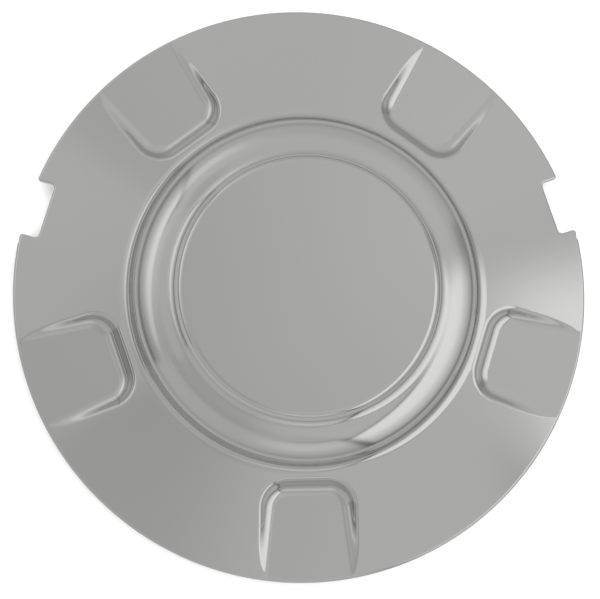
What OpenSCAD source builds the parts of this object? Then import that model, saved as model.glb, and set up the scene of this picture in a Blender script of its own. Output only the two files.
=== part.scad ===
// Wheel centre cap that covers five lug nuts: one moulding, chrome plated.
// The axis is Z, the polished face looks up, and the snap fingers' tips stand on z = 0.

/* [Rim] */
// Diameter over the rim
rim_d = 170; // [150:1:200]
// Radius of the roll along the rim's edge
rim_roll = 3; // [2:0.1:4]
// Width of the two notches in the rim
notch_w = 16.2; // [8:0.1:22]
// Depth of the notches, measured inwards from the rim
notch_depth = 6; // [3:0.1:9]
// Radius of the notches' inner corners
notch_corner = 1.2; // [0.5:0.1:2]
// Radius of the notches' outer corners, where they open into the rim
notch_lip = 1.2; // [0.5:0.1:2]

/* [Flange and dome] */
// Wall thickness of the moulding
wall = 2.6; // [1.8:0.1:3.2]
// Slope of the flange, in degrees
flange_slope = 9; // [7:0.1:14]
// Diameter of the dome at its foot
dome_d = 102.6; // [100:0.2:108]
// Height of the dome above its foot
dome_h = 10.7; // [10:0.1:13]
// Slope of the dome's wall, in degrees
dome_wall_slope = 73; // [62:1:75]
// Slope of the dome's crown, in degrees
crown_slope = 8; // [3:0.5:9]
// Radius of the shoulder between the crown and the wall
shoulder = 10; // [8:0.1:10.4]
// Radius of the hollow at the dome's foot
foot_fillet = 3.2; // [1.5:0.1:3.8]
// Diameter of the plain raised disc in the middle
disc_d = 72.2; // [60:0.2:73]
// Height of the disc above the crown
disc_h = 2.2; // [1.8:0.1:2.6]
// Slope of the disc's edge, in degrees
disc_slope = 46; // [42:1:55]
// Radius of the disc's edge and of the hollow along its foot
disc_fillet = 2.2; // [0.6:0.1:2.2]

/* [Pads] */
// Number of flat pads let into the flange
pad_count = 5; // [4:1:6]
// Width of a pad's floor at its open end, near the rim
pad_w = 30; // [24:0.2:34]
// Width of a pad's floor at its closed end
pad_end_w = 23.6; // [20:0.2:28]
// Corner radius of the floor at the closed end
pad_corner = 5.6; // [3:0.1:8]
// Height of the pads' floors above the start of the rim's roll
pad_lift = 0.1; // [0.05:0.05:0.5]
// Distance from the dome's foot to the closed end of the floor
pad_gap = 6.2; // [4.5:0.1:7.5]
// Lean of the pad's side walls from upright, in degrees
pad_draft = 38; // [25:1:42]
// Radius of the hollow along the foot of the pad's walls
pad_fillet = 1.2; // [0.4:0.1:2]

/* [Snap fingers] */
// Bore of the wheel that the fingers enter
bore_d = 70.3; // [60:0.1:74]
// Gap between the fingers and the bore, on each side
bore_clearance = 0.4; // [0.2:0.05:0.8]
// How far the fingers reach below the rim
finger_reach = 8; // [5:0.5:14]
// Number of fingers
finger_count = 10; // [6:2:12]
// Thickness of a finger
finger_t = 2.2; // [1.6:0.1:3]
// Width of the slots between the fingers
slot_w = 7; // [5:0.5:9]
// How far the barb stands out at the tip
barb = 1.1; // [0.5:0.1:1.8]
// Height of the barb's lead-in slope
barb_lead = 3; // [2:0.1:4]
// Height of the unslotted collar under the disc
collar_h = 6; // [4:0.5:9]
// Thickness of the ribs outside the collar
rib_t = 1.6; // [1:0.1:2.4]

/* [Hidden] */
$fn = 96;
// Points along each rounded corner of a section
arc_steps = 10;
// How far a cutting tool runs past what it cuts
over = 1;

rim_r = rim_d / 2;
dome_r = dome_d / 2;
disc_r = disc_d / 2;
seat_z = finger_reach;
pitch = 360 / pad_count;
chrome = [0.66, 0.66, 0.64];

// The flange ends where the roll starts, and a pad's floor runs out just inside it
roll_start = rim_r - rim_roll * (1 - sin(flange_slope));
roll_start_z = seat_z + rim_roll * cos(flange_slope);
function flange_z(r) = roll_start_z + (roll_start - r) * tan(flange_slope);

foot_z = flange_z(dome_r);
crown_z = foot_z + dome_h;
disc_z = crown_z + disc_h;
// The crown slopes from the disc's edge to where its line meets the wall's line
crown_run = (dome_h / tan(dome_wall_slope) - (dome_r - disc_r))
    / (tan(crown_slope) / tan(dome_wall_slope) - 1);
crown_edge = [disc_r + crown_run, crown_z - crown_run * tan(crown_slope)];

// The disc's edge slopes down to the crown's line
disc_run = disc_h / (tan(disc_slope) - tan(crown_slope));

// Corners of the face's section from the middle to the seat, each with its rounding radius
face_section = [
    [0, disc_z, 0],
    [disc_r, disc_z, disc_fillet],
    [disc_r + disc_run, crown_z - disc_run * tan(crown_slope), disc_fillet],
    [crown_edge.x, crown_edge.y, shoulder],
    [dome_r, foot_z, foot_fillet],
    [rim_r, flange_z(rim_r), rim_roll],
    [rim_r, seat_z, 0]
];

pad_floor_z = roll_start_z + pad_lift;
pad_end_r = dome_r + pad_gap;
// Outward growth that keeps the wall's full thickness behind a pad's leaning sides
pad_wall_growth = wall * (1 - sin(pad_draft)) / cos(pad_draft);

finger_r = bore_d / 2 - bore_clearance;
slot_top = disc_z - wall - collar_h;

function unit(v) = v / norm(v);
function left_of(v) = [-v.y, v.x];
function xy(p) = [p.x, p.y];

// Circular arc that rounds corner b between a and c, drawn from the side of a to the side of c
function round_corner(a, b, c, r, steps) =
    let (
        u = unit(a - b),
        v = unit(c - b),
        half = acos(u * v) / 2,
        centre = b + unit(u + v) * r / sin(half),
        from = b + u * r / tan(half) - centre,
        to = b + v * r / tan(half) - centre,
        turn = sign(from.x * to.y - from.y * to.x),
        sweep = 180 - 2 * half
    )
    [for (i = [0:steps]) centre + rotate_2d(from, turn * sweep * i / steps)];

function rotate_2d(p, a) = [p.x * cos(a) - p.y * sin(a), p.x * sin(a) + p.y * cos(a)];

// Outline through [x, y, radius] corners, with each corner that has a radius rounded
function rounded(corners, steps = arc_steps) =
    let (n = len(corners))
    [for (i = [0:n - 1])
        let (a = xy(corners[(i + n - 1) % n]), b = xy(corners[i]), c = xy(corners[(i + 1) % n]))
        each corners[i].z > 0 ? round_corner(a, b, c, corners[i].z, steps) : [b]];

// The same section moved inwards by t, square to its lines, with its roundings kept concentric
function thinned(corners, t) =
    let (last = len(corners) - 1)
    [for (i = [0:last])
        let (
            b = xy(corners[i]),
            before = i > 0 ? unit(b - xy(corners[i - 1])) : [1, 0],
            after = i < last ? unit(xy(corners[i + 1]) - b) : [0, -1],
            n1 = left_of(before),
            n2 = left_of(after),
            turn = before.x * after.y - before.y * after.x,
            p = b - t * (n1 + n2) / (1 + n1 * n2),
            r = corners[i].z == 0 ? 0 : corners[i].z + (turn > 0 ? t : -t)
        )
        [p.x, i == last ? b.y : p.y, i == last ? 0 : max(r, 0)]];

// Everything below the face, or below the back when t is the wall
module below_skin(t, floor_z) {
    section = thinned(face_section, t);
    last = len(section) - 1;
    rotate_extrude()
        polygon(rounded([
            each section,
            [section[last].x, floor_z, 0],
            [0, floor_z, 0]
        ]));
}

// Outline of a pad's floor grown by g, with the closed end towards the axis and its middle on X
function pad_outline(g) =
    let (
        lean = atan((pad_w - pad_end_w) / 2 / (roll_start - pad_end_r)),
        open_r = rim_r + over,
        end_x = pad_end_r - g,
        end_y = pad_end_w / 2 - g * tan(lean) + g / cos(lean),
        open_y = end_y + (open_r - end_x) * tan(lean)
    )
    rounded([
        [open_r, -open_y, 0],
        [open_r, open_y, 0],
        [end_x, end_y, pad_corner + g],
        [end_x, -end_y, pad_corner + g]
    ], 6);

// Side of a pad's tool in [growth, height] steps, from a hollow of radius r at its foot up to h
function pad_side(r, h) =
    let (head = [h * tan(pad_draft), h])
    [each round_corner([-h, 0], [0, 0], head, r, 3), head];

// Drafted tool for a pad, with a floor at z, grown by g and leaning out up to the top
module pad_tool(z, g, r, top) {
    rings = [for (s = pad_side(r, top - z))
        [for (p = pad_outline(g + s.x)) [p.x, p.y, z + s.y]]];
    n = len(rings[0]);
    last = len(rings) - 1;
    polyhedron([for (ring = rings) each ring], [
        [for (i = [0:n - 1]) i],
        [for (i = [0:n - 1]) (last + 1) * n - 1 - i],
        for (k = [0:last - 1], i = [0:n - 1])
            let (j = (i + 1) % n)
            [k * n + i, (k + 1) * n + i, (k + 1) * n + j, k * n + j]
    ]);
}

module each_pad() {
    for (i = [0:pad_count - 1])
        rotate(-90 + i * pitch)
            children();
}

// Slot through the rim, open outwards, with its corners rounded inside and at the mouth
module notch() {
    inner = rim_r - notch_depth;
    half = notch_w / 2;
    // At its mouth the slot widens along the line that touches the rim's circle there
    mouth = sqrt(rim_r * rim_r - half * half);
    wide = half + 2 * notch_lip;
    touch_x = mouth - 2 * notch_lip * half / mouth;
    translate([0, 0, seat_z - over])
        linear_extrude(crown_z)
            polygon(rounded([
                [inner, -half, notch_corner],
                [mouth, -half, notch_lip],
                [touch_x, -wide, 0],
                [rim_r + over, -wide, 0],
                [rim_r + over, wide, 0],
                [touch_x, wide, 0],
                [mouth, half, notch_lip],
                [inner, half, notch_corner]
            ], 6));
}

// The notches lie in the gaps beside the one at the top
module each_notch() {
    for (side = [-1, 1])
        rotate(90 + side * pitch)
            children();
}

// The moulded wall: face less back, with the pads let in and carried through to the back
module skin() {
    top = crown_z;
    difference() {
        below_skin(0, seat_z);
        each_pad()
            pad_tool(pad_floor_z, 0, pad_fillet, top);
        difference() {
            below_skin(wall, seat_z - over);
            each_pad()
                pad_tool(pad_floor_z - wall, pad_wall_growth, pad_fillet + wall, top);
        }
        each_notch()
            notch();
    }
}

// Section of a snap finger with its barb, from the tip up into the wall under the disc
module finger_section() {
    inner = finger_r - finger_t;
    polygon([
        [inner, 0],
        [finger_r - barb / 2, 0],
        [finger_r + barb, barb_lead],
        [finger_r, barb_lead + barb],
        [finger_r, disc_z - wall / 2],
        [inner - finger_t / 4, disc_z - wall / 2],
        [inner, barb_lead]
    ]);
}

// Ring of snap fingers under the disc, with round-ended slots between them
module fingers() {
    difference() {
        rotate_extrude()
            finger_section();
        for (i = [0:finger_count - 1])
            rotate((i + 0.5) * 360 / finger_count)
                translate([finger_r, 0, 0])
                    rotate([90, 0, 90])
                        linear_extrude(4 * finger_t, center = true)
                            polygon(rounded([
                                [-slot_w / 2, -over, 0],
                                [slot_w / 2, -over, 0],
                                [slot_w / 2, slot_top, slot_w / 3],
                                [-slot_w / 2, slot_top, slot_w / 3]
                            ], 6));
    }
}

// Thin ribs that carry the collar from the back of the dome
module ribs() {
    intersection() {
        below_skin(wall / 2, seat_z);
        for (i = [0:finger_count - 1])
            rotate(i * 360 / finger_count)
                translate([finger_r - finger_t / 2, rib_t / 2, 0])
                    rotate([90, 0, 0])
                        linear_extrude(rib_t)
                            polygon([
                                [0, slot_top],
                                [0, disc_z],
                                [dome_r - finger_r, disc_z],
                                [dome_r - finger_r, foot_z - wall]
                            ]);
    }
}

module cap() {
    color(chrome) {
        skin();
        fingers();
        ribs();
    }
}

cap();
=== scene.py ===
"""Chrome-plated wheel centre cap: the dressed model, its studio and its camera."""
import math

import bpy
import numpy as np
from bpy.props import FloatProperty, FloatVectorProperty, IntProperty, PointerProperty
from mathutils import Matrix, Vector
from mathutils.geometry import delaunay_2d_cdt


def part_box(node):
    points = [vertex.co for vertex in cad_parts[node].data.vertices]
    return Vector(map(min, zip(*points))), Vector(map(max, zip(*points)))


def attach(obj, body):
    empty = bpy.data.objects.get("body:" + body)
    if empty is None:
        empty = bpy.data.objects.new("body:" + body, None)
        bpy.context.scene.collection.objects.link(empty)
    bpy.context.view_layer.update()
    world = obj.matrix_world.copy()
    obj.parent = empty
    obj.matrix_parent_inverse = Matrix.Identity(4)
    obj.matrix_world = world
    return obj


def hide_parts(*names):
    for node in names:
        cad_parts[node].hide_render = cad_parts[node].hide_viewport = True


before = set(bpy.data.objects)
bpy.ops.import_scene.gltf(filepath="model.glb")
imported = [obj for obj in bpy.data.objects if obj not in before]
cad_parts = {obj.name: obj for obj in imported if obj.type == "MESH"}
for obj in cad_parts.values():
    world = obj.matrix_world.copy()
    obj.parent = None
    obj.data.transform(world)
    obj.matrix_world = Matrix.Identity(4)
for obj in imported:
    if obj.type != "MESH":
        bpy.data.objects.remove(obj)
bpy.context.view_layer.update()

bl_info = {
    "name": "Wheel Centre Cap",
    "version": (1, 0, 0),
    "blender": (4, 5, 0),
    "location": "3D View > Sidebar > Centre Cap",
    "description": "Models a chrome-plated centre cap with its studio",
    "category": "Add Mesh",
}

MM = 0.001
CAD_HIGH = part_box("cap")[1]

# Vertices round each ring of the moulding
COLUMNS = 384
# Lengths in millimetres: the lean of the rim's wall, the wall height drawn for every pad,
# the spacing of points along the notches, and the most over which the back's edges are blended
RIM_BATTER = 0.03
PAD_HEAD = 9.0
NOTCH_STEP = 0.3
BACK_BLEND = 0.5
# Edges sharper than this are eased on the fingers and the ribs
SHARP = math.radians(50)


# ---------------------------------------------------------------- settings

def length(name, text, value):
    """A length property, held in metres and given here in millimetres."""
    return FloatProperty(name=name, description=text, default=value * MM, precision=5, unit="LENGTH")


def angle(name, text, value):
    """An angle property, held in radians and given here in degrees."""
    return FloatProperty(name=name, description=text, default=math.radians(value), subtype="ANGLE")


class CapSizes(bpy.types.PropertyGroup):
    """Sizes of the moulding."""

    rim_radius: FloatProperty(
        name="Rim radius", description="Radius over the rim",
        default=CAD_HIGH.x, precision=5, unit="LENGTH")
    top: FloatProperty(
        name="Top", description="Height of the plain disc above the fingers' tips",
        default=CAD_HIGH.z, precision=5, unit="LENGTH")
    seat: length("Seat", "Height of the rim's seat above the fingers' tips", 8.0)
    wall: length("Wall", "Thickness of the moulding", 2.6)
    rim_height: length("Rim height", "Height of the flange's line over the seat at the rim", 2.55)
    roll: length("Rim roll", "Radius of the roll along the rim", 1.1)
    under_edge: length("Under edge", "Radius of the rim's lower edge", 0.22)
    flange_slope: angle("Flange slope", "Slope of the flange", 8.5)
    dome_radius: length("Dome radius", "Radius of the dome at its foot", 51.3)
    wall_slope: angle("Dome wall slope", "Slope of the dome's wall", 73.5)
    crown_slope: angle("Crown slope", "Slope of the dome's crown", 11.0)
    shoulder: length("Shoulder", "Radius of the shoulder", 15.0)
    brow: length("Brow", "Radius of the edge between the shoulder and the wall", 2.0)
    brow_slope: angle("Brow slope", "Slope at which the shoulder meets that edge", 46.0)
    foot: length("Foot", "Radius of the hollow at the dome's foot", 3.2)
    disc_radius: length("Disc radius", "Radius of the plain raised disc", 36.8)
    disc_height: length("Disc height", "Height of the disc above the crown", 2.3)
    disc_slope: angle("Disc edge slope", "Slope of the disc's edge", 54.0)
    disc_round: length("Disc edge radius", "Radius of the disc's edge", 2.3)
    disc_hollow: length("Disc hollow", "Radius of the hollow at the disc's foot", 5.0)


class PadSizes(bpy.types.PropertyGroup):
    """Sizes of the pads let into the flange and of the rim's notches."""

    count: IntProperty(name="Pads", description="Number of pads", default=5, min=3, max=8)
    floor: length("Floor", "Height of the pads' floors above the fingers' tips", 10.62)
    end: length("Closed end", "Distance of the floor's closed end from the axis", 57.7)
    end_width: length("Closed width", "Width of the floor at its closed end", 22.4)
    open_width: length("Open width", "Width of the floor near the rim", 28.8)
    corner: length("Corner", "Corner radius of the floor", 6.0)
    draft: angle("Draft", "Lean of the pads' walls from upright", 34.0)
    hollow: length("Hollow", "Radius along the foot of the pads' walls", 4.2)
    lip: length("Lip", "Height over which the pads' upper edge is rounded", 1.2)
    notch_width: length("Notch width", "Width of the rim's notches", 16.2)
    notch_depth: length("Notch depth", "Depth of the rim's notches", 6.0)
    notch_corner: length("Notch corner", "Radius of the notches' corners", 1.2)
    notch_edge: length("Notch edge", "Radius of the notches' upper edges", 0.7)


class FingerSizes(bpy.types.PropertyGroup):
    """Sizes of the snap fingers and ribs on the back."""

    count: IntProperty(name="Fingers", description="Number of snap fingers", default=10, min=6, max=12)
    radius: length("Radius", "Outer radius of the fingers", 34.75)
    thickness: length("Thickness", "Thickness of a finger", 2.2)
    slot: length("Slot", "Width of the slots between the fingers", 7.0)
    barb: length("Barb", "How far the barbs stand out", 1.1)
    lead: length("Lead-in", "Height of the barbs' lead-in slope", 3.0)
    collar: length("Collar", "Height of the unslotted collar", 6.0)
    rib: length("Rib", "Thickness of the ribs", 1.6)
    edge: length("Edge", "Radius of the fingers' edges", 0.25)


class Finish(bpy.types.PropertyGroup):
    """Finish of the plating."""

    chrome: FloatVectorProperty(
        name="Chrome", description="Colour that the plating reflects", subtype="COLOR",
        size=3, min=0.0, max=1.0, default=(0.612, 0.620, 0.570))
    polish: FloatProperty(
        name="Roughness", description="Roughness of the polished face", default=0.03,
        min=0.0, max=1.0, subtype="FACTOR")
    haze: FloatProperty(
        name="Haze", description="How far handling dulls the polish in patches", default=0.03,
        min=0.0, max=1.0, subtype="FACTOR")


# ---------------------------------------------------------------- sections

def unit(v):
    """The vector, made 1 long."""
    return v / np.linalg.norm(v)


def arc_points(a, b, c, radius, step):
    """Points along the arc that rounds corner b between a and c."""
    u, v = unit(a - b), unit(c - b)
    half = math.acos(np.clip(u @ v, -1, 1)) / 2
    centre = b + unit(u + v) * radius / math.sin(half)
    start = b + u * radius / math.tan(half) - centre
    end = b + v * radius / math.tan(half) - centre
    turn = math.copysign(1, start[0] * end[1] - start[1] * end[0])
    sweep = math.pi - 2 * half
    count = max(2, math.ceil(math.degrees(sweep) / step))
    out = []
    for i in range(count + 1):
        t = turn * sweep * i / count
        ct, st = math.cos(t), math.sin(t)
        out.append(centre + np.array([start[0] * ct - start[1] * st, start[0] * st + start[1] * ct]))
    return out


def rounded(corners, step):
    """A line through (x, y, radius) corners, rounded where the radius isn't 0."""
    out = []
    for i, (x, y, radius) in enumerate(corners):
        b = np.array([x, y], float)
        if radius > 0:
            a = np.array(corners[i - 1][:2], float)
            c = np.array(corners[i + 1][:2], float)
            out += arc_points(a, b, c, radius, step)
        else:
            out.append(b)
    return np.array(out)


class Section:
    """A height that depends on one distance, with its exact slope."""

    def __init__(self, corners, step):
        """Rounds the corners and keeps the slope of every line and arc."""
        points = []
        for i, (x, y, radius) in enumerate(corners):
            b = np.array([x, y], float)
            before = b - np.array(corners[i - 1][:2], float) if i > 0 else None
            after = np.array(corners[i + 1][:2], float) - b if i < len(corners) - 1 else None
            if before is None or after is None or radius == 0:
                line = after if before is None else before
                points.append((x, y, math.atan2(line[1], line[0])))
                continue
            pts = arc_points(b - before, b, b + after, radius, step)
            a0, a1 = math.atan2(before[1], before[0]), math.atan2(after[1], after[0])
            for k, p in enumerate(pts):
                points.append((p[0], p[1], a0 + (a1 - a0) * k / (len(pts) - 1)))
        self.at, self.height, self.lean = np.array(points).T

    def __call__(self, d):
        """Height and slope at the distances d."""
        steepest = 1.5706
        a = np.interp(d, self.at, self.lean)
        return np.interp(d, self.at, self.height), np.tan(np.clip(a, -steepest, steepest))


class Shape:
    """The moulding's face and back as heights over the plan, in millimetres."""

    def __init__(self, cap, pad):
        mm = 1 / MM
        self.rim, self.seat, self.wall = cap.rim_radius * mm, cap.seat * mm, cap.wall * mm
        self.roll, self.under = cap.roll * mm, cap.under_edge * mm
        self.dome, self.disc = cap.dome_radius * mm, cap.disc_radius * mm
        self.slope = math.tan(cap.flange_slope)
        self.count, self.floor = pad.count, pad.floor * mm
        self.end, self.corner = pad.end * mm, pad.corner * mm
        self.half_end, self.half_open = pad.end_width * mm / 2, pad.open_width * mm / 2
        self.draft, self.hollow, self.lip = pad.draft, pad.hollow * mm, pad.lip * mm
        self.notch_half, self.notch_in = pad.notch_width * mm / 2, self.rim - pad.notch_depth * mm
        self.notch_corner, self.notch_edge = pad.notch_corner * mm, pad.notch_edge * mm
        self.top, disc_h = cap.top * mm, cap.disc_height * mm
        top, crown = self.top, self.top - disc_h
        tan_c, tan_w = math.tan(cap.crown_slope), math.tan(cap.wall_slope)
        cos_f = math.cos(cap.flange_slope)
        self.roll_axis = self.rim - RIM_BATTER - self.roll
        rim_line = self.seat + cap.rim_height * mm
        self.flange_at = lambda r: rim_line + (self.rim - r) * self.slope
        foot = self.flange_at(self.dome)
        # The shoulder falls from the crown to the brow's slope, and the brow turns it into the wall
        brow, slope_b = cap.brow * mm, cap.brow_slope
        between = (cap.shoulder * mm * math.tan((slope_b - cap.crown_slope) / 2)
                   + brow * math.tan((cap.wall_slope - slope_b) / 2))
        over, down = between * math.cos(slope_b), between * math.sin(slope_b)
        edge_x = (foot - crown + (self.dome - over) * tan_w - self.disc * tan_c + down) / (tan_w - tan_c)
        tan_d = math.tan(cap.disc_slope)
        ledge = disc_h / (tan_d - tan_c)
        self.face = Section([
            (0, top, 0),
            (self.disc, top, cap.disc_round * mm),
            (self.disc + ledge, crown - ledge * tan_c, cap.disc_hollow * mm),
            (edge_x, crown - (edge_x - self.disc) * tan_c, cap.shoulder * mm),
            (edge_x + over, foot + (self.dome - edge_x - over) * tan_w, brow),
            (self.dome, foot, cap.foot * mm),
            (self.rim - RIM_BATTER, self.flange_at(self.rim), self.roll),
            (self.rim, self.seat + self.under, 0)], 2.0)
        # The back keeps the wall's thickness, so its corners lie inside the face's
        t = self.wall

        def inner(x, a, b):
            """Where the corner at x between lines of the slopes a and b lies on the back."""
            return x - t * math.sin((a + b) / 2) / math.cos((a - b) / 2)

        disc_in = inner(self.disc, 0, cap.disc_slope)
        ledge_in = inner(self.disc + ledge, cap.disc_slope, cap.crown_slope)
        turn_x = (foot - crown + self.dome * tan_w - self.disc * tan_c) / (tan_w - tan_c)
        edge_in = inner(turn_x, cap.crown_slope, cap.wall_slope)
        dome_in = inner(self.dome, cap.wall_slope, cap.flange_slope)
        lift_c = t / math.cos(cap.crown_slope)
        # The rim stands on a foot as wide as the wall, with a slightly leaning inner side
        foot_x, foot_lean = self.rim - t - 0.35, 0.25
        self.back = Section([
            (0, top - t, 0),
            (disc_in, top - t, 0.2),
            (ledge_in, crown - (ledge_in - self.disc) * tan_c - lift_c, cap.disc_round * mm),
            (edge_in, crown - (edge_in - self.disc) * tan_c - lift_c, cap.shoulder * mm - 2.5 * t),
            (dome_in, self.flange_at(dome_in) - t / cos_f, cap.foot * mm + t),
            (foot_x, self.flange_at(foot_x) - t / cos_f, 0.1),
            (foot_x + foot_lean, self.seat, 0.1),
            (self.rim - self.under, self.seat, self.under * 0.99),
            (self.rim, self.seat + self.under, 0)], 6.0)
        # A pad's floor and wall over the distance outside the floor; on the back they lie further out
        def pad_section(low, hollow, step):
            """Section over a floor at the height low, with a hollow at the wall's foot."""
            return Section([
                (-self.end, low, 0), (0, low, hollow),
                (PAD_HEAD * math.tan(self.draft), low + PAD_HEAD, 0)], step)

        self.pad_face = pad_section(self.floor, self.hollow, 5.0)
        self.pad_back = pad_section(self.floor - t, self.hollow + t, 8.0)
        self.grow = t * (1 - math.sin(self.draft)) / math.cos(self.draft)
        self.angles = [math.radians(-90 + i * 360 / self.count) for i in range(self.count)]
        self.notches = [math.radians(90 + s * 360 / self.count) for s in (-1, 1)]
        self.lean = math.atan((self.half_open - self.half_end) / (self.rim - self.roll - self.end))

    def pad_distance(self, x, y, grown=0.0):
        """Distance outside a pad's floor in the pad's own axes, and its gradient."""
        s, c = math.sin(self.lean), math.cos(self.lean)
        side = np.where(y < 0, -1.0, 1.0)
        y = np.abs(y)
        # Lines of the closed end and of the side, and the centre of the corner between them
        d_end = self.end - x
        d_side = (y - self.half_end) * c - (x - self.end) * s
        r = self.corner
        cx = self.end + r
        cy = self.half_end + (r * s - r) / c
        vx, vy = x - cx, y - cy
        in_corner = (vy > 0) & (vx * c + vy * s < 0)
        far = np.hypot(vx, vy)
        far_safe = np.maximum(far, 1e-9)
        d = np.where(in_corner, far - r, np.maximum(d_end, d_side))
        gx = np.where(in_corner, vx / far_safe, np.where(d_end > d_side, -1.0, -s))
        gy = np.where(in_corner, vy / far_safe, np.where(d_end > d_side, 0.0, c))
        return d - grown, gx, gy * side

    def nearest_pad(self, x, y):
        """Turns points into the axes of the pad nearest to them."""
        pitch = 2 * math.pi / self.count
        t = np.arctan2(y, x)
        k = np.round((t - self.angles[0]) / pitch)
        a = self.angles[0] + k * pitch
        ca, sa = np.cos(a), np.sin(a)
        return x * ca + y * sa, -x * sa + y * ca, ca, sa

    def surface(self, x, y, back=False):
        """Height and gradient of the face or the back over the plan, without the notches."""
        r = np.maximum(np.hypot(x, y), 1e-9)
        base, slope = (self.back if back else self.face)(r)
        bx, by = slope * x / r, slope * y / r
        px, py, ca, sa = self.nearest_pad(x, y)
        d, gx, gy = self.pad_distance(px, py, self.grow if back else 0.0)
        wall, steep = (self.pad_back if back else self.pad_face)(d)
        wx, wy = steep * (gx * ca - gy * sa), steep * (gx * sa + gy * ca)
        floor = self.floor - (self.wall if back else 0)
        # The walls round into the flange over the height k, which shrinks as the pads run out
        k = np.clip(0.75 * (base - floor), 0.12, BACK_BLEND if back else self.lip)
        t = np.clip(1 - np.abs(base - wall) / k, 0, 1)
        w = np.where(base < wall, 1 - t / 2, t / 2)
        z = np.minimum(base, wall) - t * t * k / 4
        use = (r > self.dome) & (r < self.rim - 0.01)
        z = np.where(use, z, base)
        w = np.where(use, w, 1.0)
        return z, w * bx + (1 - w) * wx, w * by + (1 - w) * wy


# ---------------------------------------------------------------- moulding

def notch_line(shape):
    """Outline of a notch in its own axes, from one side of its mouth to the other."""
    half, lip = shape.notch_half, shape.notch_corner
    mouth = math.sqrt(shape.rim ** 2 - half ** 2)
    wide = half + 2 * lip
    touch = mouth - 2 * lip * half / mouth
    line = rounded([
        (touch, -wide, 0), (mouth, -half, lip), (shape.notch_in, -half, lip),
        (shape.notch_in, half, lip), (mouth, half, lip), (touch, wide, 0)], step=9.0)
    line = line[1:-1]
    out = [line[0]]
    for p, q in zip(line, line[1:]):
        n = max(1, math.ceil(np.linalg.norm(q - p) / NOTCH_STEP))
        out += [p + (q - p) * k / n for k in range(1, n + 1)]
    out = np.array(out)
    r = np.hypot(out[:, 0], out[:, 1])
    out *= np.minimum(1, shape.rim / r)[:, None]
    on_rim = shape.rim / np.hypot(out[[0, -1], 0], out[[0, -1], 1])
    out[0] *= on_rim[0]
    out[-1] *= on_rim[1]
    return out


def line_normals(line):
    """Right-hand normals of an open line, averaged at its points."""
    t = np.gradient(line, axis=0)
    t /= np.linalg.norm(t, axis=1)[:, None]
    return np.stack([t[:, 1], -t[:, 0]], 1)


class Plan:
    """Points and fixed edges of a surface in plan."""

    def __init__(self):
        self.points, self.edges = [], []

    def chain(self, pts, keep=None, closed=False):
        """Adds a line of points, with an edge between neighbours that are both kept."""
        keep = np.ones(len(pts), bool) if keep is None else keep
        ids = []
        for p, k in zip(pts, keep):
            ids.append(len(self.points) if k else -1)
            if k:
                self.points.append((float(p[0]), float(p[1])))
        pairs = list(zip(ids, ids[1:])) + ([(ids[-1], ids[0])] if closed else [])
        self.edges += [(a, b) for a, b in pairs if a >= 0 and b >= 0]

    def fill(self):
        """Triangles over all the points that lie inside the closed lines."""
        points, _, faces, origin, _, _ = delaunay_2d_cdt(
            [Vector(p) for p in self.points], self.edges, [], 1, 1e-5, True)
        return np.array([tuple(p) for p in points]), faces, origin


def turned(pts, a):
    """Plan points turned round the axis."""
    c, s = math.cos(a), math.sin(a)
    return np.stack([pts[:, 0] * c - pts[:, 1] * s, pts[:, 0] * s + pts[:, 1] * c], 1)


def circle(r):
    """Plan points of a ring."""
    t = np.arange(COLUMNS) * 2 * math.pi / COLUMNS
    return np.stack([r * np.cos(t), r * np.sin(t)], 1)


def pad_line(shape, d, step, reach):
    """Line at the distance d outside a pad's floor, in the pad's own axes, out to the radius reach."""
    s, c = math.sin(shape.lean), math.cos(shape.lean)
    r = shape.corner + d
    cx, cy = shape.end + shape.corner, shape.half_end + (shape.corner * s - shape.corner) / c
    arc = [(cx + r * math.cos(t), cy + r * math.sin(t))
           for t in np.linspace(math.pi, math.pi / 2 + shape.lean, max(6, round(r * 1.65 / step)))]
    mid = [(cx - r, y) for y in np.linspace(0, cy, max(3, round(cy / step)), endpoint=False)]
    x0, y0 = arc[-1]
    length_out = reach - x0
    leg = [(x0 + c * v, y0 + s * v)
           for v in np.linspace(0, length_out, max(8, round(length_out / step)))[1:]]
    half = np.array(mid + arc + leg)
    half = half[np.hypot(half[:, 0], half[:, 1]) < reach]
    return np.concatenate([half[:0:-1] * [1, -1], half])


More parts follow.
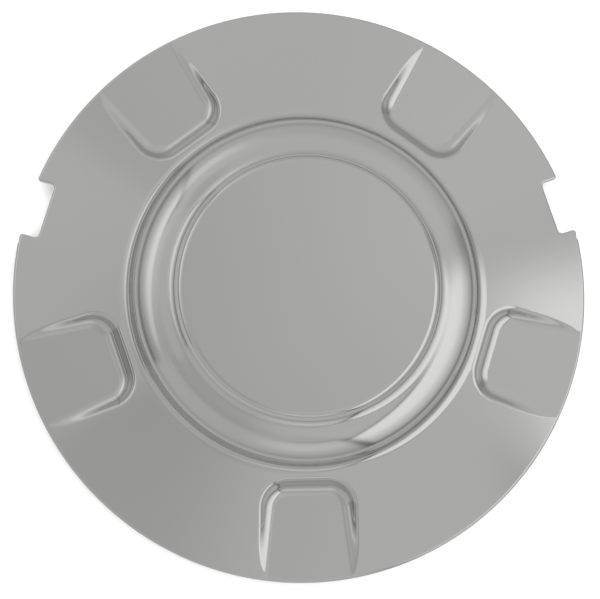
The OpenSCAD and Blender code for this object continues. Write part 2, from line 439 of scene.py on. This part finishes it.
def surface_plan(shape, radii, levels, edge_levels, pad_step, pad_reach, back):
    """Plan of the face or the back outside the dome's foot, with its outline and the outline's normals."""
    plan = Plan()
    notch = notch_line(shape)
    reach = math.atan2(abs(notch[0][1]), notch[0][0])
    # Outline: the rim's circle, with a notch line in place of each mouth
    outline, normals = [], []
    starts = sorted(a % (2 * math.pi) for a in shape.notches)
    side = line_normals(notch)
    for i, a in enumerate(starts):
        outline += list(turned(notch, a))
        normals += list(turned(side, a))
        stop = starts[(i + 1) % len(starts)] + (2 * math.pi if i == len(starts) - 1 else 0)
        span = stop - reach - (a + reach)
        n = max(2, round(span / (2 * math.pi) * COLUMNS))
        for k in range(1, n):
            t = a + reach + span * k / n
            outline.append(np.array([shape.rim * math.cos(t), shape.rim * math.sin(t)]))
            normals.append(np.array([math.cos(t), math.sin(t)]))
    outline, normals = np.array(outline), np.array(normals)
    plan.chain(outline, closed=True)
    for a in starts:
        for d in edge_levels:
            pts = turned(notch - side * d, a)
            plan.chain(pts, np.hypot(pts[:, 0], pts[:, 1]) < shape.rim - 0.02)
    lines = np.concatenate([turned(notch, a) for a in starts])
    # Rings stop short of the lines along the notches and along the pads' walls
    clear, gap_to_pads = edge_levels[-1] * 1.08, 0.3
    grown = shape.grow if back else 0.0
    for r in radii:
        pts = circle(r)
        keep = np.ones(COLUMNS, bool)
        if r > shape.notch_in - 2:
            gap = np.min(np.linalg.norm(pts[:, None] - lines[None], axis=2), axis=1)
            keep &= gap > clear
            for a in starts:
                local = turned(pts, -a)
                keep &= ~((local[:, 0] > shape.notch_in - clear) & (np.abs(local[:, 1]) < shape.notch_half))
        if r < pad_reach:
            x, y, _, _ = shape.nearest_pad(pts[:, 0], pts[:, 1])
            d, _, _ = shape.pad_distance(x, y, grown)
            keep &= (d < levels[0] - gap_to_pads) | (d > levels[-1] + gap_to_pads)
        plan.chain(pts, keep, closed=True)
    for a in shape.angles:
        for d in levels:
            plan.chain(turned(pad_line(shape, d + grown, pad_step, pad_reach), a))
    return plan, outline, normals


def lift(shape, points, back, line, line_out):
    """Heights and normals over plan points, with the edges along the notches rounded."""
    x, y = points[:, 0], points[:, 1]
    z, gx, gy = shape.surface(x, y, back)
    n = np.stack([-gx, -gy, np.ones(len(x))], 1)
    n /= np.linalg.norm(n, axis=1)[:, None]
    radius = shape.under if back else shape.notch_edge
    r = np.hypot(x, y)
    for i in np.nonzero(r > shape.notch_in - 2)[0]:
        gap = np.hypot(line[:, 0] - x[i], line[:, 1] - y[i])
        k = int(np.argmin(gap))
        if gap[k] < radius:
            far = gap[k]
            out = line_out[k] if far < 1e-4 else (line[k] - points[i]) / far
            s = 1 - far / radius
            c = math.sqrt(max(0.0, 1 - s * s))
            edge = shape.seat + shape.under
            step = radius * (1 - c)
            # Near the rim the edges shrink with the height that is left between them
            if back:
                z[i] = min(z[i] + step, max(z[i], edge))
            else:
                z[i] -= step * min(1, 0.9 * (z[i] - edge) / radius)
            n[i] = n[i] * c + np.array([out[0], out[1], 0]) * s
            n[i] /= np.linalg.norm(n[i])
    return z, (-n * [1, 1, 1] if back else n)


def ring_sheet(shape, radii, back):
    """Quads of the surface inside the flange, closed at the axis by a fan."""
    pts = np.concatenate([circle(r) for r in radii] + [np.zeros((1, 2))])
    z, gx, gy = shape.surface(pts[:, 0], pts[:, 1], back)
    n = np.stack([-gx, -gy, np.ones(len(z))], 1)
    n /= np.linalg.norm(n, axis=1)[:, None]
    faces = []
    for i in range(len(radii) - 1):
        for j in range(COLUMNS):
            k = (j + 1) % COLUMNS
            a, b = i * COLUMNS, (i + 1) * COLUMNS
            faces.append((a + j, b + j, b + k, a + k))
    last = len(pts) - 1
    faces += [(j, (j + 1) % COLUMNS, last) for j in range(COLUMNS)]
    if back:
        faces = [f[::-1] for f in faces]
        n = -n
    return np.column_stack([pts, z]), n, faces


def face_radii(shape):
    """Radii of the rings on the face, closest where the section turns."""
    flat = np.arange(4, shape.disc - 1.5, 4.0)
    turning = [r for r in shape.face.at if shape.disc - 1.5 < r < shape.dome + 4]
    out = sorted(set(np.round([*flat, *turning], 4)))
    keep = [out[0]]
    for r in out[1:]:
        while r - keep[-1] > 4.5:
            keep.append(keep[-1] + 2.0)
        if r - keep[-1] > 0.03:
            keep.append(r)
    return keep


def back_radii(shape):
    """Radii of the rings on the back of the dome."""
    turning = [r for r in shape.back.at if 34 < r < shape.dome - 1]
    out = []
    for r in sorted(set(np.round([*np.arange(5, 34, 5), *turning], 3))):
        if not out or r - out[-1] > 0.25:
            out.append(r)
    return [r for r in out if r < shape.dome - 2.2]


def build_moulding(shape):
    """The moulding's four sheets: dome and flange on the face, dome and flange on the back."""
    # The face: rings over the disc and the dome, then the flange with its pads, roll and notches
    rings = [r for r in face_radii(shape) if r <= shape.dome + 1.3]
    join, flange_end = rings[-1], shape.rim - shape.roll
    turn = [r for r in shape.face.at if shape.roll_axis < r < shape.rim - 0.005]
    outer = [join, *np.arange(join + 1.5, flange_end - 1.4, 2.4)]
    outer += [*(flange_end - np.array([1.3, 1.0, 0.7, 0.4, 0.1])), *turn[:-1:4], turn[-1]]
    levels = np.arange(-2.3, 4.3, 0.32)
    edges = [shape.notch_edge * (1 - math.sin(t)) for t in np.radians([75, 60, 45, 30, 15, 0])]
    plan, outline, out = surface_plan(shape, outer, levels, edges, 0.68, flange_end, False)
    parts = [ring_sheet(shape, rings, False), cover(shape, plan, outline, out, join, False)]
    # The back, in the same way but coarser
    rings = back_radii(shape)
    join = rings[-1]
    outer = [join] + [r for r in shape.back.at if join + 0.2 < r < shape.dome + 3][::2]
    outer += [*np.arange(outer[-1] + 1.5, shape.rim - 4, 2.6)]
    outer += [r for r in shape.back.at if shape.rim - 3.3 < r < shape.rim - 0.05]
    levels = np.arange(-3.4, 3.8, 0.55)
    edges = [shape.under * v for v in (0.13, 0.5, 1.0)]
    plan, _, _ = surface_plan(shape, outer, levels, edges, 1.0, shape.rim - shape.wall - 0.5, True)
    parts += [ring_sheet(shape, rings, True), cover(shape, plan, outline, out, join, True)]
    return parts, outline, out


def inside(points, line):
    """Whether points lie inside the shape that an open line closes."""
    hit = np.zeros(len(points), bool)
    for (x0, y0), (x1, y1) in zip(line, np.roll(line, -1, axis=0)):
        over = (y0 > points[:, 1]) != (y1 > points[:, 1])
        cross = (x1 - x0) * (points[:, 1] - y0) / np.where(y1 == y0, 1e-12, y1 - y0) + x0
        hit ^= over & (points[:, 0] < cross)
    return hit


def cover(shape, plan, outline, out, join, back):
    """Fills a plan, drops what covers the dome and the notches, and lifts the rest to its height."""
    points, faces, origin = plan.fill()
    middle = np.array([points[list(f)].mean(0) for f in faces])
    r = np.hypot(middle[:, 0], middle[:, 1])
    notched = np.zeros(len(faces), bool)
    for a in shape.notches:
        m = turned(middle, -a)
        line, beyond = notch_line(shape), shape.rim + 5
        line = np.vstack([line, [beyond, line[-1][1]], [beyond, line[0][1]]])
        near = (m[:, 0] > shape.notch_in) & (np.abs(m[:, 1]) < line[-2][1])
        notched[near] |= inside(m[near], line)
    dome = r <= join * math.cos(math.pi / COLUMNS) - 1e-3
    faces = [f for f, drop in zip(faces, dome | notched) if not drop]
    # The plan's exact points, so that neighbouring sheets share them
    for i, ids in enumerate(origin):
        if ids:
            points[i] = plan.points[min(ids)]
    z, n = lift(shape, points, back, outline, out)
    # Which points are the outline's; on the face they look straight out
    ring = [0] * len(outline)
    for i, ids in enumerate(origin):
        for k in ids:
            if k < len(outline):
                ring[k] = i
                if not back:
                    n[i] = [*out[k], 0]
    tri = []
    for f in faces:
        a, b, c = (points[i] for i in f[:3])
        up = (b[0] - a[0]) * (c[1] - a[1]) - (b[1] - a[1]) * (c[0] - a[0]) > 0
        tri.append(tuple(f) if up != back else tuple(f)[::-1])
    return np.column_stack([points, z]), n, tri, ring


def make_piece(name, vertices, faces, corner_normals):
    """A mesh object from millimetres, smooth, with its own corner normals."""
    mesh = bpy.data.meshes.new(name)
    mesh.from_pydata([tuple(v) for v in np.asarray(vertices) * MM], [], faces)
    mesh.shade_smooth()
    mesh.normals_split_custom_set([tuple(n) for n in corner_normals])
    mesh.validate(clean_customdata=False)
    obj = bpy.data.objects.new(name, mesh)
    bpy.context.collection.objects.link(obj)
    return obj


class CAP_OT_moulding(bpy.types.Operator):
    """Model the moulding: disc, dome, flange with its pads, rim and back"""

    bl_idname = "cap.moulding"
    bl_label = "Moulding"
    bl_options = {"REGISTER", "UNDO"}

    def execute(self, context):
        scene = context.scene
        shape = Shape(scene.cap_sizes, scene.cap_pads)
        parts, outline, out = build_moulding(shape)
        vertices, faces, normals = [], [], []
        index, bases = {}, []
        # The sheets are merged where their points meet
        for points, point_normals, sheet, *_ in parts:
            ids = []
            for v in points:
                key = tuple(np.round(v, 4))
                if key not in index:
                    index[key] = len(vertices)
                    vertices.append(v)
                ids.append(index[key])
            bases.append(ids)
            for f in sheet:
                g = [ids[i] for i in f]
                if len(set(g)) == len(g):
                    faces.append(g)
                    normals += [point_normals[i] for i in f]
        # The wall between the face's outline and the back's
        upper = [bases[1][i] for i in parts[1][3]]
        lower = [bases[3][i] for i in parts[3][3]]
        n = len(outline)
        for i in range(n):
            j = (i + 1) % n
            quad = {upper[i]: i, lower[i]: i, lower[j]: j, upper[j]: j}
            if len(quad) > 2:
                faces.append(list(quad))
                normals += [np.array([*out[k], 0]) for k in quad.values()]
        obj = make_piece("cap_moulding", vertices, faces, normals)
        obj.data.materials.append(chrome_material())
        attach(obj, "root")
        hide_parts("cap")
        return {"FINISHED"}


# ---------------------------------------------------------------- fingers

def select(*objects):
    """Selects only these objects, the first one as the active one."""
    bpy.ops.object.select_all(action="DESELECT")
    for obj in objects:
        obj.select_set(True)
    if objects:
        bpy.context.view_layer.objects.active = objects[0]


def edit(obj):
    """Makes obj the only selected one and opens it in edit mode."""
    select(obj)
    bpy.ops.object.mode_set(mode="EDIT")


def whole_mesh():
    """Selects all of the open mesh."""
    bpy.ops.mesh.select_all(action="SELECT")


def done():
    """Leaves edit mode."""
    bpy.ops.object.mode_set(mode="OBJECT")


def cut_across(normal, places):
    """Cuts the open mesh by parallel planes."""
    for d in places:
        whole_mesh()
        bpy.ops.mesh.bisect(plane_co=[v * d for v in normal], plane_no=normal)


def place_on_mesh(obj):
    """Puts an object's place and turn into its mesh."""
    select(obj)
    bpy.ops.object.transform_apply(location=True, rotation=True, scale=True)


def apply_modifier(obj, kind, **settings):
    """Adds a modifier with its settings and applies it."""
    made = obj.modifiers.new(kind.lower(), kind)
    for key, value in settings.items():
        setattr(made, key, value)
    bpy.context.view_layer.objects.active = obj
    bpy.ops.object.modifier_apply(modifier=made.name)


def ease_edges(obj, width):
    """Rounds an object's sharp edges."""
    apply_modifier(obj, "BEVEL", width=width, segments=2, limit_method="ANGLE", angle_limit=SHARP)


def around(obj, count, first=0.0):
    """Copies obj to count places round the axis and joins them all."""
    copies = [obj]
    for _ in range(count - 1):
        copy = obj.copy()
        copy.data = obj.data.copy()
        bpy.context.collection.objects.link(copy)
        copies.append(copy)
    for i, copy in enumerate(copies):
        copy.data.transform(Matrix.Rotation(first + i * 2 * math.pi / count, 4, "Z"))
    select(*copies)
    bpy.ops.object.join()


def add_box(name, centre, size):
    """A box at its place and size, with both in its mesh."""
    select()
    bpy.ops.mesh.primitive_cube_add(size=1, location=centre)
    box = bpy.context.object
    box.name, box.scale = name, size
    place_on_mesh(box)
    return box


def finger_ring(shape, fingers, root):
    """The collar and its barbed fingers: a section spun round the axis, then slotted."""
    radius, inner = fingers.radius, fingers.radius - fingers.thickness
    select()
    bpy.ops.mesh.primitive_plane_add(
        size=1, location=((radius + inner) / 2, 0, root / 2), rotation=(math.pi / 2, 0, 0))
    ring = bpy.context.object
    ring.name, ring.scale = "snap_fingers", (fingers.thickness, root, 1)
    place_on_mesh(ring)
    edit(ring)
    cut_across((0, 0, 1), (fingers.lead, fingers.lead + fingers.barb))
    done()
    for v in ring.data.vertices:
        if v.co.x > radius - 1e-5 and v.co.z < 1e-5:
            v.co.x -= fingers.barb / 2
        elif v.co.x > radius - 1e-5 and abs(v.co.z - fingers.lead) < 1e-5:
            v.co.x += fingers.barb
        elif v.co.x < inner + 1e-5 and v.co.z > root - 1e-5:
            v.co.x -= fingers.thickness / 4
    edit(ring)
    whole_mesh()
    bpy.ops.mesh.dissolve_faces()
    whole_mesh()
    bpy.ops.mesh.bevel(affect="VERTICES", offset=fingers.edge, segments=2)
    whole_mesh()
    bpy.ops.mesh.delete(type="ONLY_FACE")
    whole_mesh()
    bpy.ops.mesh.spin(steps=160, angle=2 * math.pi, center=(0, 0, 0), axis=(0, 0, 1))
    whole_mesh()
    bpy.ops.mesh.remove_doubles(threshold=1e-6)
    bpy.ops.mesh.normals_make_consistent(inside=False)
    done()
    # Slots with rounded tops, one modelled and the others copied round the axis
    head = root - fingers.collar - shape.wall * MM / 2
    slot = add_box(
        "slot", (radius, 0, head / 2 - MM), (5 * fingers.thickness, fingers.slot, head + 2 * MM))
    edit(slot)
    bpy.ops.mesh.select_all(action="DESELECT")
    done()
    for e in slot.data.edges:
        a, b = (slot.data.vertices[i].co for i in e.vertices)
        e.select = min(a.z, b.z) > head - 1e-5 and abs(a.y - b.y) < 1e-6
    edit(slot)
    bpy.ops.mesh.bevel(offset=fingers.slot / 3, segments=6, affect="EDGES")
    done()
    around(slot, fingers.count, math.pi / fingers.count)
    apply_modifier(ring, "BOOLEAN", operation="DIFFERENCE", object=slot, solver="EXACT")
    bpy.data.objects.remove(slot)
    ease_edges(ring, fingers.edge)
    return ring


def rib_ring(shape, fingers, root):
    """Thin ribs from the collar to the dome's wall, their upper edges sunk into the wall."""
    start = fingers.radius - fingers.thickness / 2
    head = root - fingers.collar - shape.wall * MM / 2
    low_end = shape.flange_at(shape.dome) - shape.wall
    r = np.linspace(start / MM, shape.dome, 400)
    under = head / MM + (low_end - head / MM) * (r - r[0]) / (shape.dome - r[0])
    back = shape.back(r)[0]
    stop = r[np.argmax(back < under - 0.5)]
    rib = add_box("ribs", ((start + stop * MM) / 2, 0, root / 2), (stop * MM - start, fingers.rib, root))
    edit(rib)
    cut_across((1, 0, 0), np.linspace(start, stop * MM, 14)[1:-1])
    done()
    for v in rib.data.vertices:
        line = np.interp(v.co.x / MM, r, under)
        top = max(np.interp(v.co.x / MM, r, back) + 1.0, line + 0.3)
        v.co.z = (top if v.co.z > root / 2 else line) * MM
    around(rib, fingers.count)
    ease_edges(rib, fingers.edge)
    return rib


class CAP_OT_fingers(bpy.types.Operator):
    """Model the collar with its snap fingers and ribs under the dome"""

    bl_idname = "cap.fingers"
    bl_label = "Snap fingers"
    bl_options = {"REGISTER", "UNDO"}

    def execute(self, context):
        scene = context.scene
        shape = Shape(scene.cap_sizes, scene.cap_pads)
        root = (shape.top - shape.wall / 2) * MM
        ring = finger_ring(shape, scene.cap_fingers, root)
        ribs = rib_ring(shape, scene.cap_fingers, root)
        select(ring, ribs)
        bpy.ops.object.join()
        bpy.ops.object.shade_smooth_by_angle(angle=math.radians(40))
        ring.data.materials.clear()
        ring.data.materials.append(chrome_material())
        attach(ring, "root")
        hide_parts("cap")
        return {"FINISHED"}


# ---------------------------------------------------------------- finish

def node(tree, kind, inputs=None, **settings):
    """A shader node with its settings, and with its inputs set or linked."""
    made = tree.nodes.new(kind)
    for key, value in settings.items():
        setattr(made, key, value)
    for key, value in (inputs or {}).items():
        if isinstance(value, bpy.types.NodeSocket):
            tree.links.new(value, made.inputs[key])
        else:
            made.inputs[key].default_value = value
    return made


def maths(tree, operation, a, b=0.0):
    """Result of a Math node."""
    return node(tree, "ShaderNodeMath", {0: a, 1: b}, operation=operation).outputs[0]


def chrome_material():
    """Polished chrome plating with a little haze and the faint waviness of a moulded part."""
    if "chrome_plating" in bpy.data.materials:
        return bpy.data.materials["chrome_plating"]
    finish = bpy.context.scene.cap_finish
    mat = bpy.data.materials.new("chrome_plating")
    mat.use_nodes = True
    tree = mat.node_tree
    tree.nodes.clear()
    at = node(tree, "ShaderNodeTexCoord").outputs["Object"]
    cloud = node(tree, "ShaderNodeTexNoise", {"Vector": at, "Scale": 28.0, "Detail": 4.0})
    rough = node(tree, "ShaderNodeMapRange", {
        "Value": cloud.outputs[0], "From Min": 0.35, "From Max": 0.75,
        "To Min": finish.polish, "To Max": finish.polish + finish.haze})
    wave = node(tree, "ShaderNodeTexNoise", {"Vector": at, "Scale": 55.0, "Detail": 1.0})
    bump = node(tree, "ShaderNodeBump", {
        "Height": wave.outputs[0], "Strength": 0.05, "Distance": 0.001})
    shader = node(tree, "ShaderNodeBsdfPrincipled", {
        "Base Color": (*finish.chrome, 1), "Metallic": 1.0,
        "Roughness": rough.outputs[0], "Normal": bump.outputs[0]})
    node(tree, "ShaderNodeOutputMaterial", {"Surface": shader.outputs[0]})
    return mat


# ---------------------------------------------------------------- studio

def studio_world():
    """Light tent: four pale walls that meet in dark seams, lit brightest on the right and the left.

    All angles are in degrees, azimuths from +X and the others from straight up.
    """
    world = bpy.data.worlds.new("studio")
    bpy.context.scene.world = world
    world.use_nodes = True
    tree = world.node_tree
    tree.nodes.clear()
    ray = node(tree, "ShaderNodeTexCoord").outputs["Generated"]
    height = node(tree, "ShaderNodeSeparateXYZ", {0: ray}).outputs[2]

    def towards(direction):
        """Cosine of the angle between the ray and a direction."""
        return node(
            tree, "ShaderNodeVectorMath", {0: ray, 1: direction}, operation="DOT_PRODUCT").outputs["Value"]

    def along(azimuth):
        """How far the ray goes towards an azimuth."""
        a = math.radians(azimuth)
        return towards((math.cos(a), math.sin(a), 0))

    def curve(value, stops):
        """A brightness against an angle, from (degrees, brightness) stops."""
        most = max(v for _, v in stops)
        ramp = node(tree, "ShaderNodeFloatCurve", {"Value": maths(tree, "MULTIPLY", value, 1 / math.pi)})
        points = ramp.mapping.curves[0].points
        for k, (deg, v) in enumerate(stops):
            point = points[k] if k < 2 else points.new(deg / 180, v / most)
            point.location = (deg / 180, v / most)
        ramp.mapping.update()
        return maths(tree, "MULTIPLY", ramp.outputs[0], most)

    def rise(value, low, high):
        """0 before the first angle and 1 past the second, or the other way round."""
        return node(tree, "ShaderNodeMapRange", {
            "Value": value, "From Min": math.radians(low), "From Max": math.radians(high)},
            interpolation_type="SMOOTHSTEP").outputs[0]

    def times(*values):
        """Product of all the values."""
        out = values[0]
        for value in values[1:]:
            out = maths(tree, "MULTIPLY", out, value)
        return out

    def without(value):
        """1 less the value."""
        return maths(tree, "SUBTRACT", 1.0, value)

    def band(value, low, high, soft):
        """1 between two angles and 0 outside."""
        return times(rise(value, low - soft, low + soft), rise(value, high + soft, high - soft))

    def seam(azimuth, lean=0.0):
        """Angle past the corner between two walls; the corner may lean."""
        across = maths(tree, "SUBTRACT", along(azimuth + 90), maths(tree, "MULTIPLY", height, lean))
        return maths(tree, "ARCTAN2", across, along(azimuth))

    def wall(start, stop, soft_start=1.0, soft_stop=1.0):
        """1 between two corners and 0 outside, each edge with its own softness."""
        return times(rise(start, -soft_start, soft_start), without(rise(stop, -soft_stop, soft_stop)))

    def slant(azimuth):
        """Angle towards an azimuth, the same all along a level line on a flat wall there."""
        return maths(tree, "ARCTAN2", along(azimuth), height)

    def add(total, *values):
        """The total with the values' product added."""
        return maths(tree, "ADD", total, times(*values))

    def darken(total, *masks):
        """The total less the share that is the masks' product."""
        return times(total, without(times(*masks)))

    zenith = maths(tree, "ARCCOSINE", height)
    right_corner, left_corner, low_corner = seam(-61.1, -0.153), seam(125.3, 0.19), seam(202.5)
    left_wall, right_wall = wall(left_corner, low_corner), wall(right_corner, seam(13), 1.0, 5.0)
    # The walls at the top, the left, the bottom and the right, and a light part of the ceiling
    total = 0.0
    for mask, stops in (
            (wall(seam(13), left_corner, 5.0), (
                (0, .53), (8, .57), (14, .60), (30, .625), (50, .63), (64, .59), (78, .57), (86, .545),
                (180, .54))),
            (left_wall, (
                (0, .53), (14, .62), (28, .62), (38, .69), (46, .72), (58, .68), (68, .63), (75, .54),
                (82, .44), (180, .42))),
            (wall(low_corner, right_corner), (
                (0, .53), (12, .54), (24, .505), (38, .48), (45, .55), (60, .56), (76, .545), (180, .53))),
            (right_wall, (
                (0, .53), (8, .57), (14, .59), (26, .64), (50, .65), (64, .62), (76, .60), (84, .57),
                (180, .54))),
            (along(-10), ((0, .30), (15, .30), (23, 0), (180, 0)))):
        total = add(total, mask, curve(zenith, stops))
    # Bright panels on the right and the left wall
    for mask, direction, low, high, stops in (
            (wall(right_corner, seam(13), 1.0, 7.0), -3, 28.8, 31.0, (
                (0, .45), (56, .45), (62, .37), (68, .26), (74, .17), (80, .07), (88, 0), (180, 0))),
            (wall(left_corner, seam(198), 1.0, 8.0), 165, 46.2, 50.5, (
                (0, .30), (50, .30), (56, .31), (62, .16), (68, .05), (74, 0), (180, 0)))):
        total = add(total, mask, rise(slant(direction), low, high), curve(zenith, stops))
    # Thin dark lines above the panels and across the bottom wall
    total = darken(total, wall(seam(-68), seam(-24), 2.0, 4.0), band(slant(-3), 27.0, 30.0, 0.9), 0.50)
    total = darken(total, wall(left_corner, seam(146), 1.0, 3.0), band(slant(165), 43.0, 46.5, 1.2), 0.28)
    total = darken(total, wall(seam(-96), right_corner, 12.0), band(zenith, 42, 47, 1.5), 0.24)
    total = darken(total, wall(seam(178), low_corner, 22.0, 0.9), curve(
        zenith, ((0, 0), (18, 0), (32, .18), (44, .28), (56, .27), (68, .33), (82, .30), (90, .1), (180, 0))))
    # Lighter places on the walls beside the corners
    for mask, stops in (
            (wall(seam(106), left_corner, 12.0), (
                (0, 0), (50, .04), (60, .22), (68, .12), (76, 0), (180, 0))),
            (wall(seam(26), seam(60), 6.0, 20.0), (
                (0, 0), (26, .04), (60, .05), (90, 0), (180, 0))),
            (wall(seam(-103), right_corner, 14.0), (
                (0, 0), (16, .05), (30, .12), (38, .10), (48, .12), (60, .19), (66, .12), (74, .06),
                (84, 0), (180, 0)))):
        total = add(total, mask, curve(zenith, stops))
    # Dark lines in the right and the left corner, and soft shades beside the corners of the top wall
    for mask, stops in (
            (band(right_corner, -1.9, 1.6, 1.1), (
                (0, 0), (42, 0), (48, .55), (60, .68), (84, .74), (90, .1), (180, 0))),
            (band(left_corner, -1.6, 1.6, 1.0), (
                (0, 0), (42, 0), (49, .36), (66, .28), (84, .30), (90, .1), (180, 0))),
            (wall(seam(13), seam(26), 8.0, 2.5), (
                (0, 0), (60, 0), (68, .08), (76, .24), (84, .28), (93, .2), (100, .06), (180, 0))),
            (wall(seam(110), seam(129), 6.0, 3.0), (
                (0, 0), (20, 0), (27, .14), (34, .12), (44, 0), (180, 0)))):
        total = darken(total, mask, curve(zenith, stops))
    # A dark line along the horizon, which is tilted a little from the cap, and the white table below it
    tip, aside = math.radians(5), math.radians(30)
    depth = maths(tree, "ARCCOSINE", towards(
        (math.sin(tip) * math.cos(aside), math.sin(tip) * math.sin(aside), math.cos(tip))))
    shade = add(add(0.16, right_wall, 0.26), left_wall, 0.16)
    total = darken(total, band(depth, 82.5, 89.5, 2.5), shade)
    table = rise(depth, 88.2, 90.4)
    cloth = curve(depth, ((0, .56), (89, .56), (98, .60), (112, .66), (140, .80), (180, .92)))
    total = add(times(total, without(table)), table, cloth)
    back = node(tree, "ShaderNodeBackground", {"Color": (1, 1, 1, 1), "Strength": total})
    node(tree, "ShaderNodeOutputWorld", {"Surface": back.outputs[0]})


class CAP_OT_studio(bpy.types.Operator):
    """Set up the camera, the pale floor and the soft studio light"""

    bl_idname = "cap.studio"
    bl_label = "Studio"

    def execute(self, context):
        scene = context.scene
        scene.view_settings.view_transform = "Standard"
        # Camera: a little to the lower left of the cap's axis, close enough to show the sides of the dome
        tilt, azimuth, roll = math.radians(7.3), math.radians(225.2), math.radians(-1.09)
        distance, target = 0.450, Vector((-0.91, -1.93, 8.3)) * MM
        aside = math.sin(tilt)
        back = Vector((aside * math.cos(azimuth), aside * math.sin(azimuth), math.cos(tilt)))
        right = Vector((0, 1, 0)).cross(back).normalized()
        up = back.cross(right)
        c, s = math.cos(roll), math.sin(roll)
        right, up = right * c + up * s, up * c - right * s
        data = bpy.data.cameras.new("camera")
        data.sensor_width = 36.0
        data.lens = 90.94
        data.clip_start, data.clip_end = 0.01, 20.0
        camera = bpy.data.objects.new("camera", data)
        camera.matrix_world = Matrix((right, up, back)).transposed().to_4x4()
        camera.location = target + back * distance
        scene.collection.objects.link(camera)
        scene.camera = camera

        select()
        bpy.ops.mesh.primitive_plane_add(size=8.0, location=(0, 0, 0))
        floor = context.object
        floor.name = "floor"
        mat = bpy.data.materials.new("pale_floor")
        mat.use_nodes = True
        shader = mat.node_tree.nodes["Principled BSDF"]
        shader.inputs["Base Color"].default_value = (0.86, 0.86, 0.86, 1)
        shader.inputs["Roughness"].default_value = 0.9
        # Seen from below, the floor is clear and shows the cap's back
        under = node(mat.node_tree, "ShaderNodeNewGeometry").outputs["Backfacing"]
        clear = maths(mat.node_tree, "SUBTRACT", 1.0, under)
        mat.node_tree.links.new(clear, shader.inputs["Alpha"])
        floor.data.materials.append(mat)
        floor.visible_glossy = False

        lamp = bpy.data.lights.new("overhead", "AREA")
        lamp.shape = "SQUARE"
        lamp.size = 1.2
        lamp.energy = 22.0
        light = bpy.data.objects.new("overhead", lamp)
        light.location = (0, 0, 1.3)
        light.visible_glossy = False
        light.visible_camera = False
        scene.collection.objects.link(light)
        studio_world()
        return {"FINISHED"}


class CAP_PT_panel(bpy.types.Panel):
    """Sizes, finish and the steps that build the cap"""

    bl_idname = "CAP_PT_panel"
    bl_label = "Centre Cap"
    bl_space_type = "VIEW_3D"
    bl_region_type = "UI"
    bl_category = "Centre Cap"

    def draw(self, context):
        scene = context.scene
        for group in (scene.cap_sizes, scene.cap_pads, scene.cap_fingers, scene.cap_finish):
            box = self.layout.box()
            for name in group.__annotations__:
                box.prop(group, name)
        for step in STEPS:
            self.layout.operator(step)


STEPS = ["cap.moulding", "cap.fingers", "cap.studio"]
GROUPS = {"cap_sizes": CapSizes, "cap_pads": PadSizes, "cap_fingers": FingerSizes, "cap_finish": Finish}
CLASSES = [*GROUPS.values(), CAP_OT_moulding, CAP_OT_fingers, CAP_OT_studio, CAP_PT_panel]


def register():
    for cls in CLASSES:
        bpy.utils.register_class(cls)
    for name, cls in GROUPS.items():
        setattr(bpy.types.Scene, name, PointerProperty(type=cls))


def unregister():
    for name in GROUPS:
        delattr(bpy.types.Scene, name)
    for cls in reversed(CLASSES):
        bpy.utils.unregister_class(cls)


def main():
    """Builds the cap and its studio."""
    register()
    bpy.ops.object.select_all(action="DESELECT")
    for step in STEPS:
        group, name = step.split(".")
        getattr(getattr(bpy.ops, group), name)()


if __name__ == "__main__":
    main()
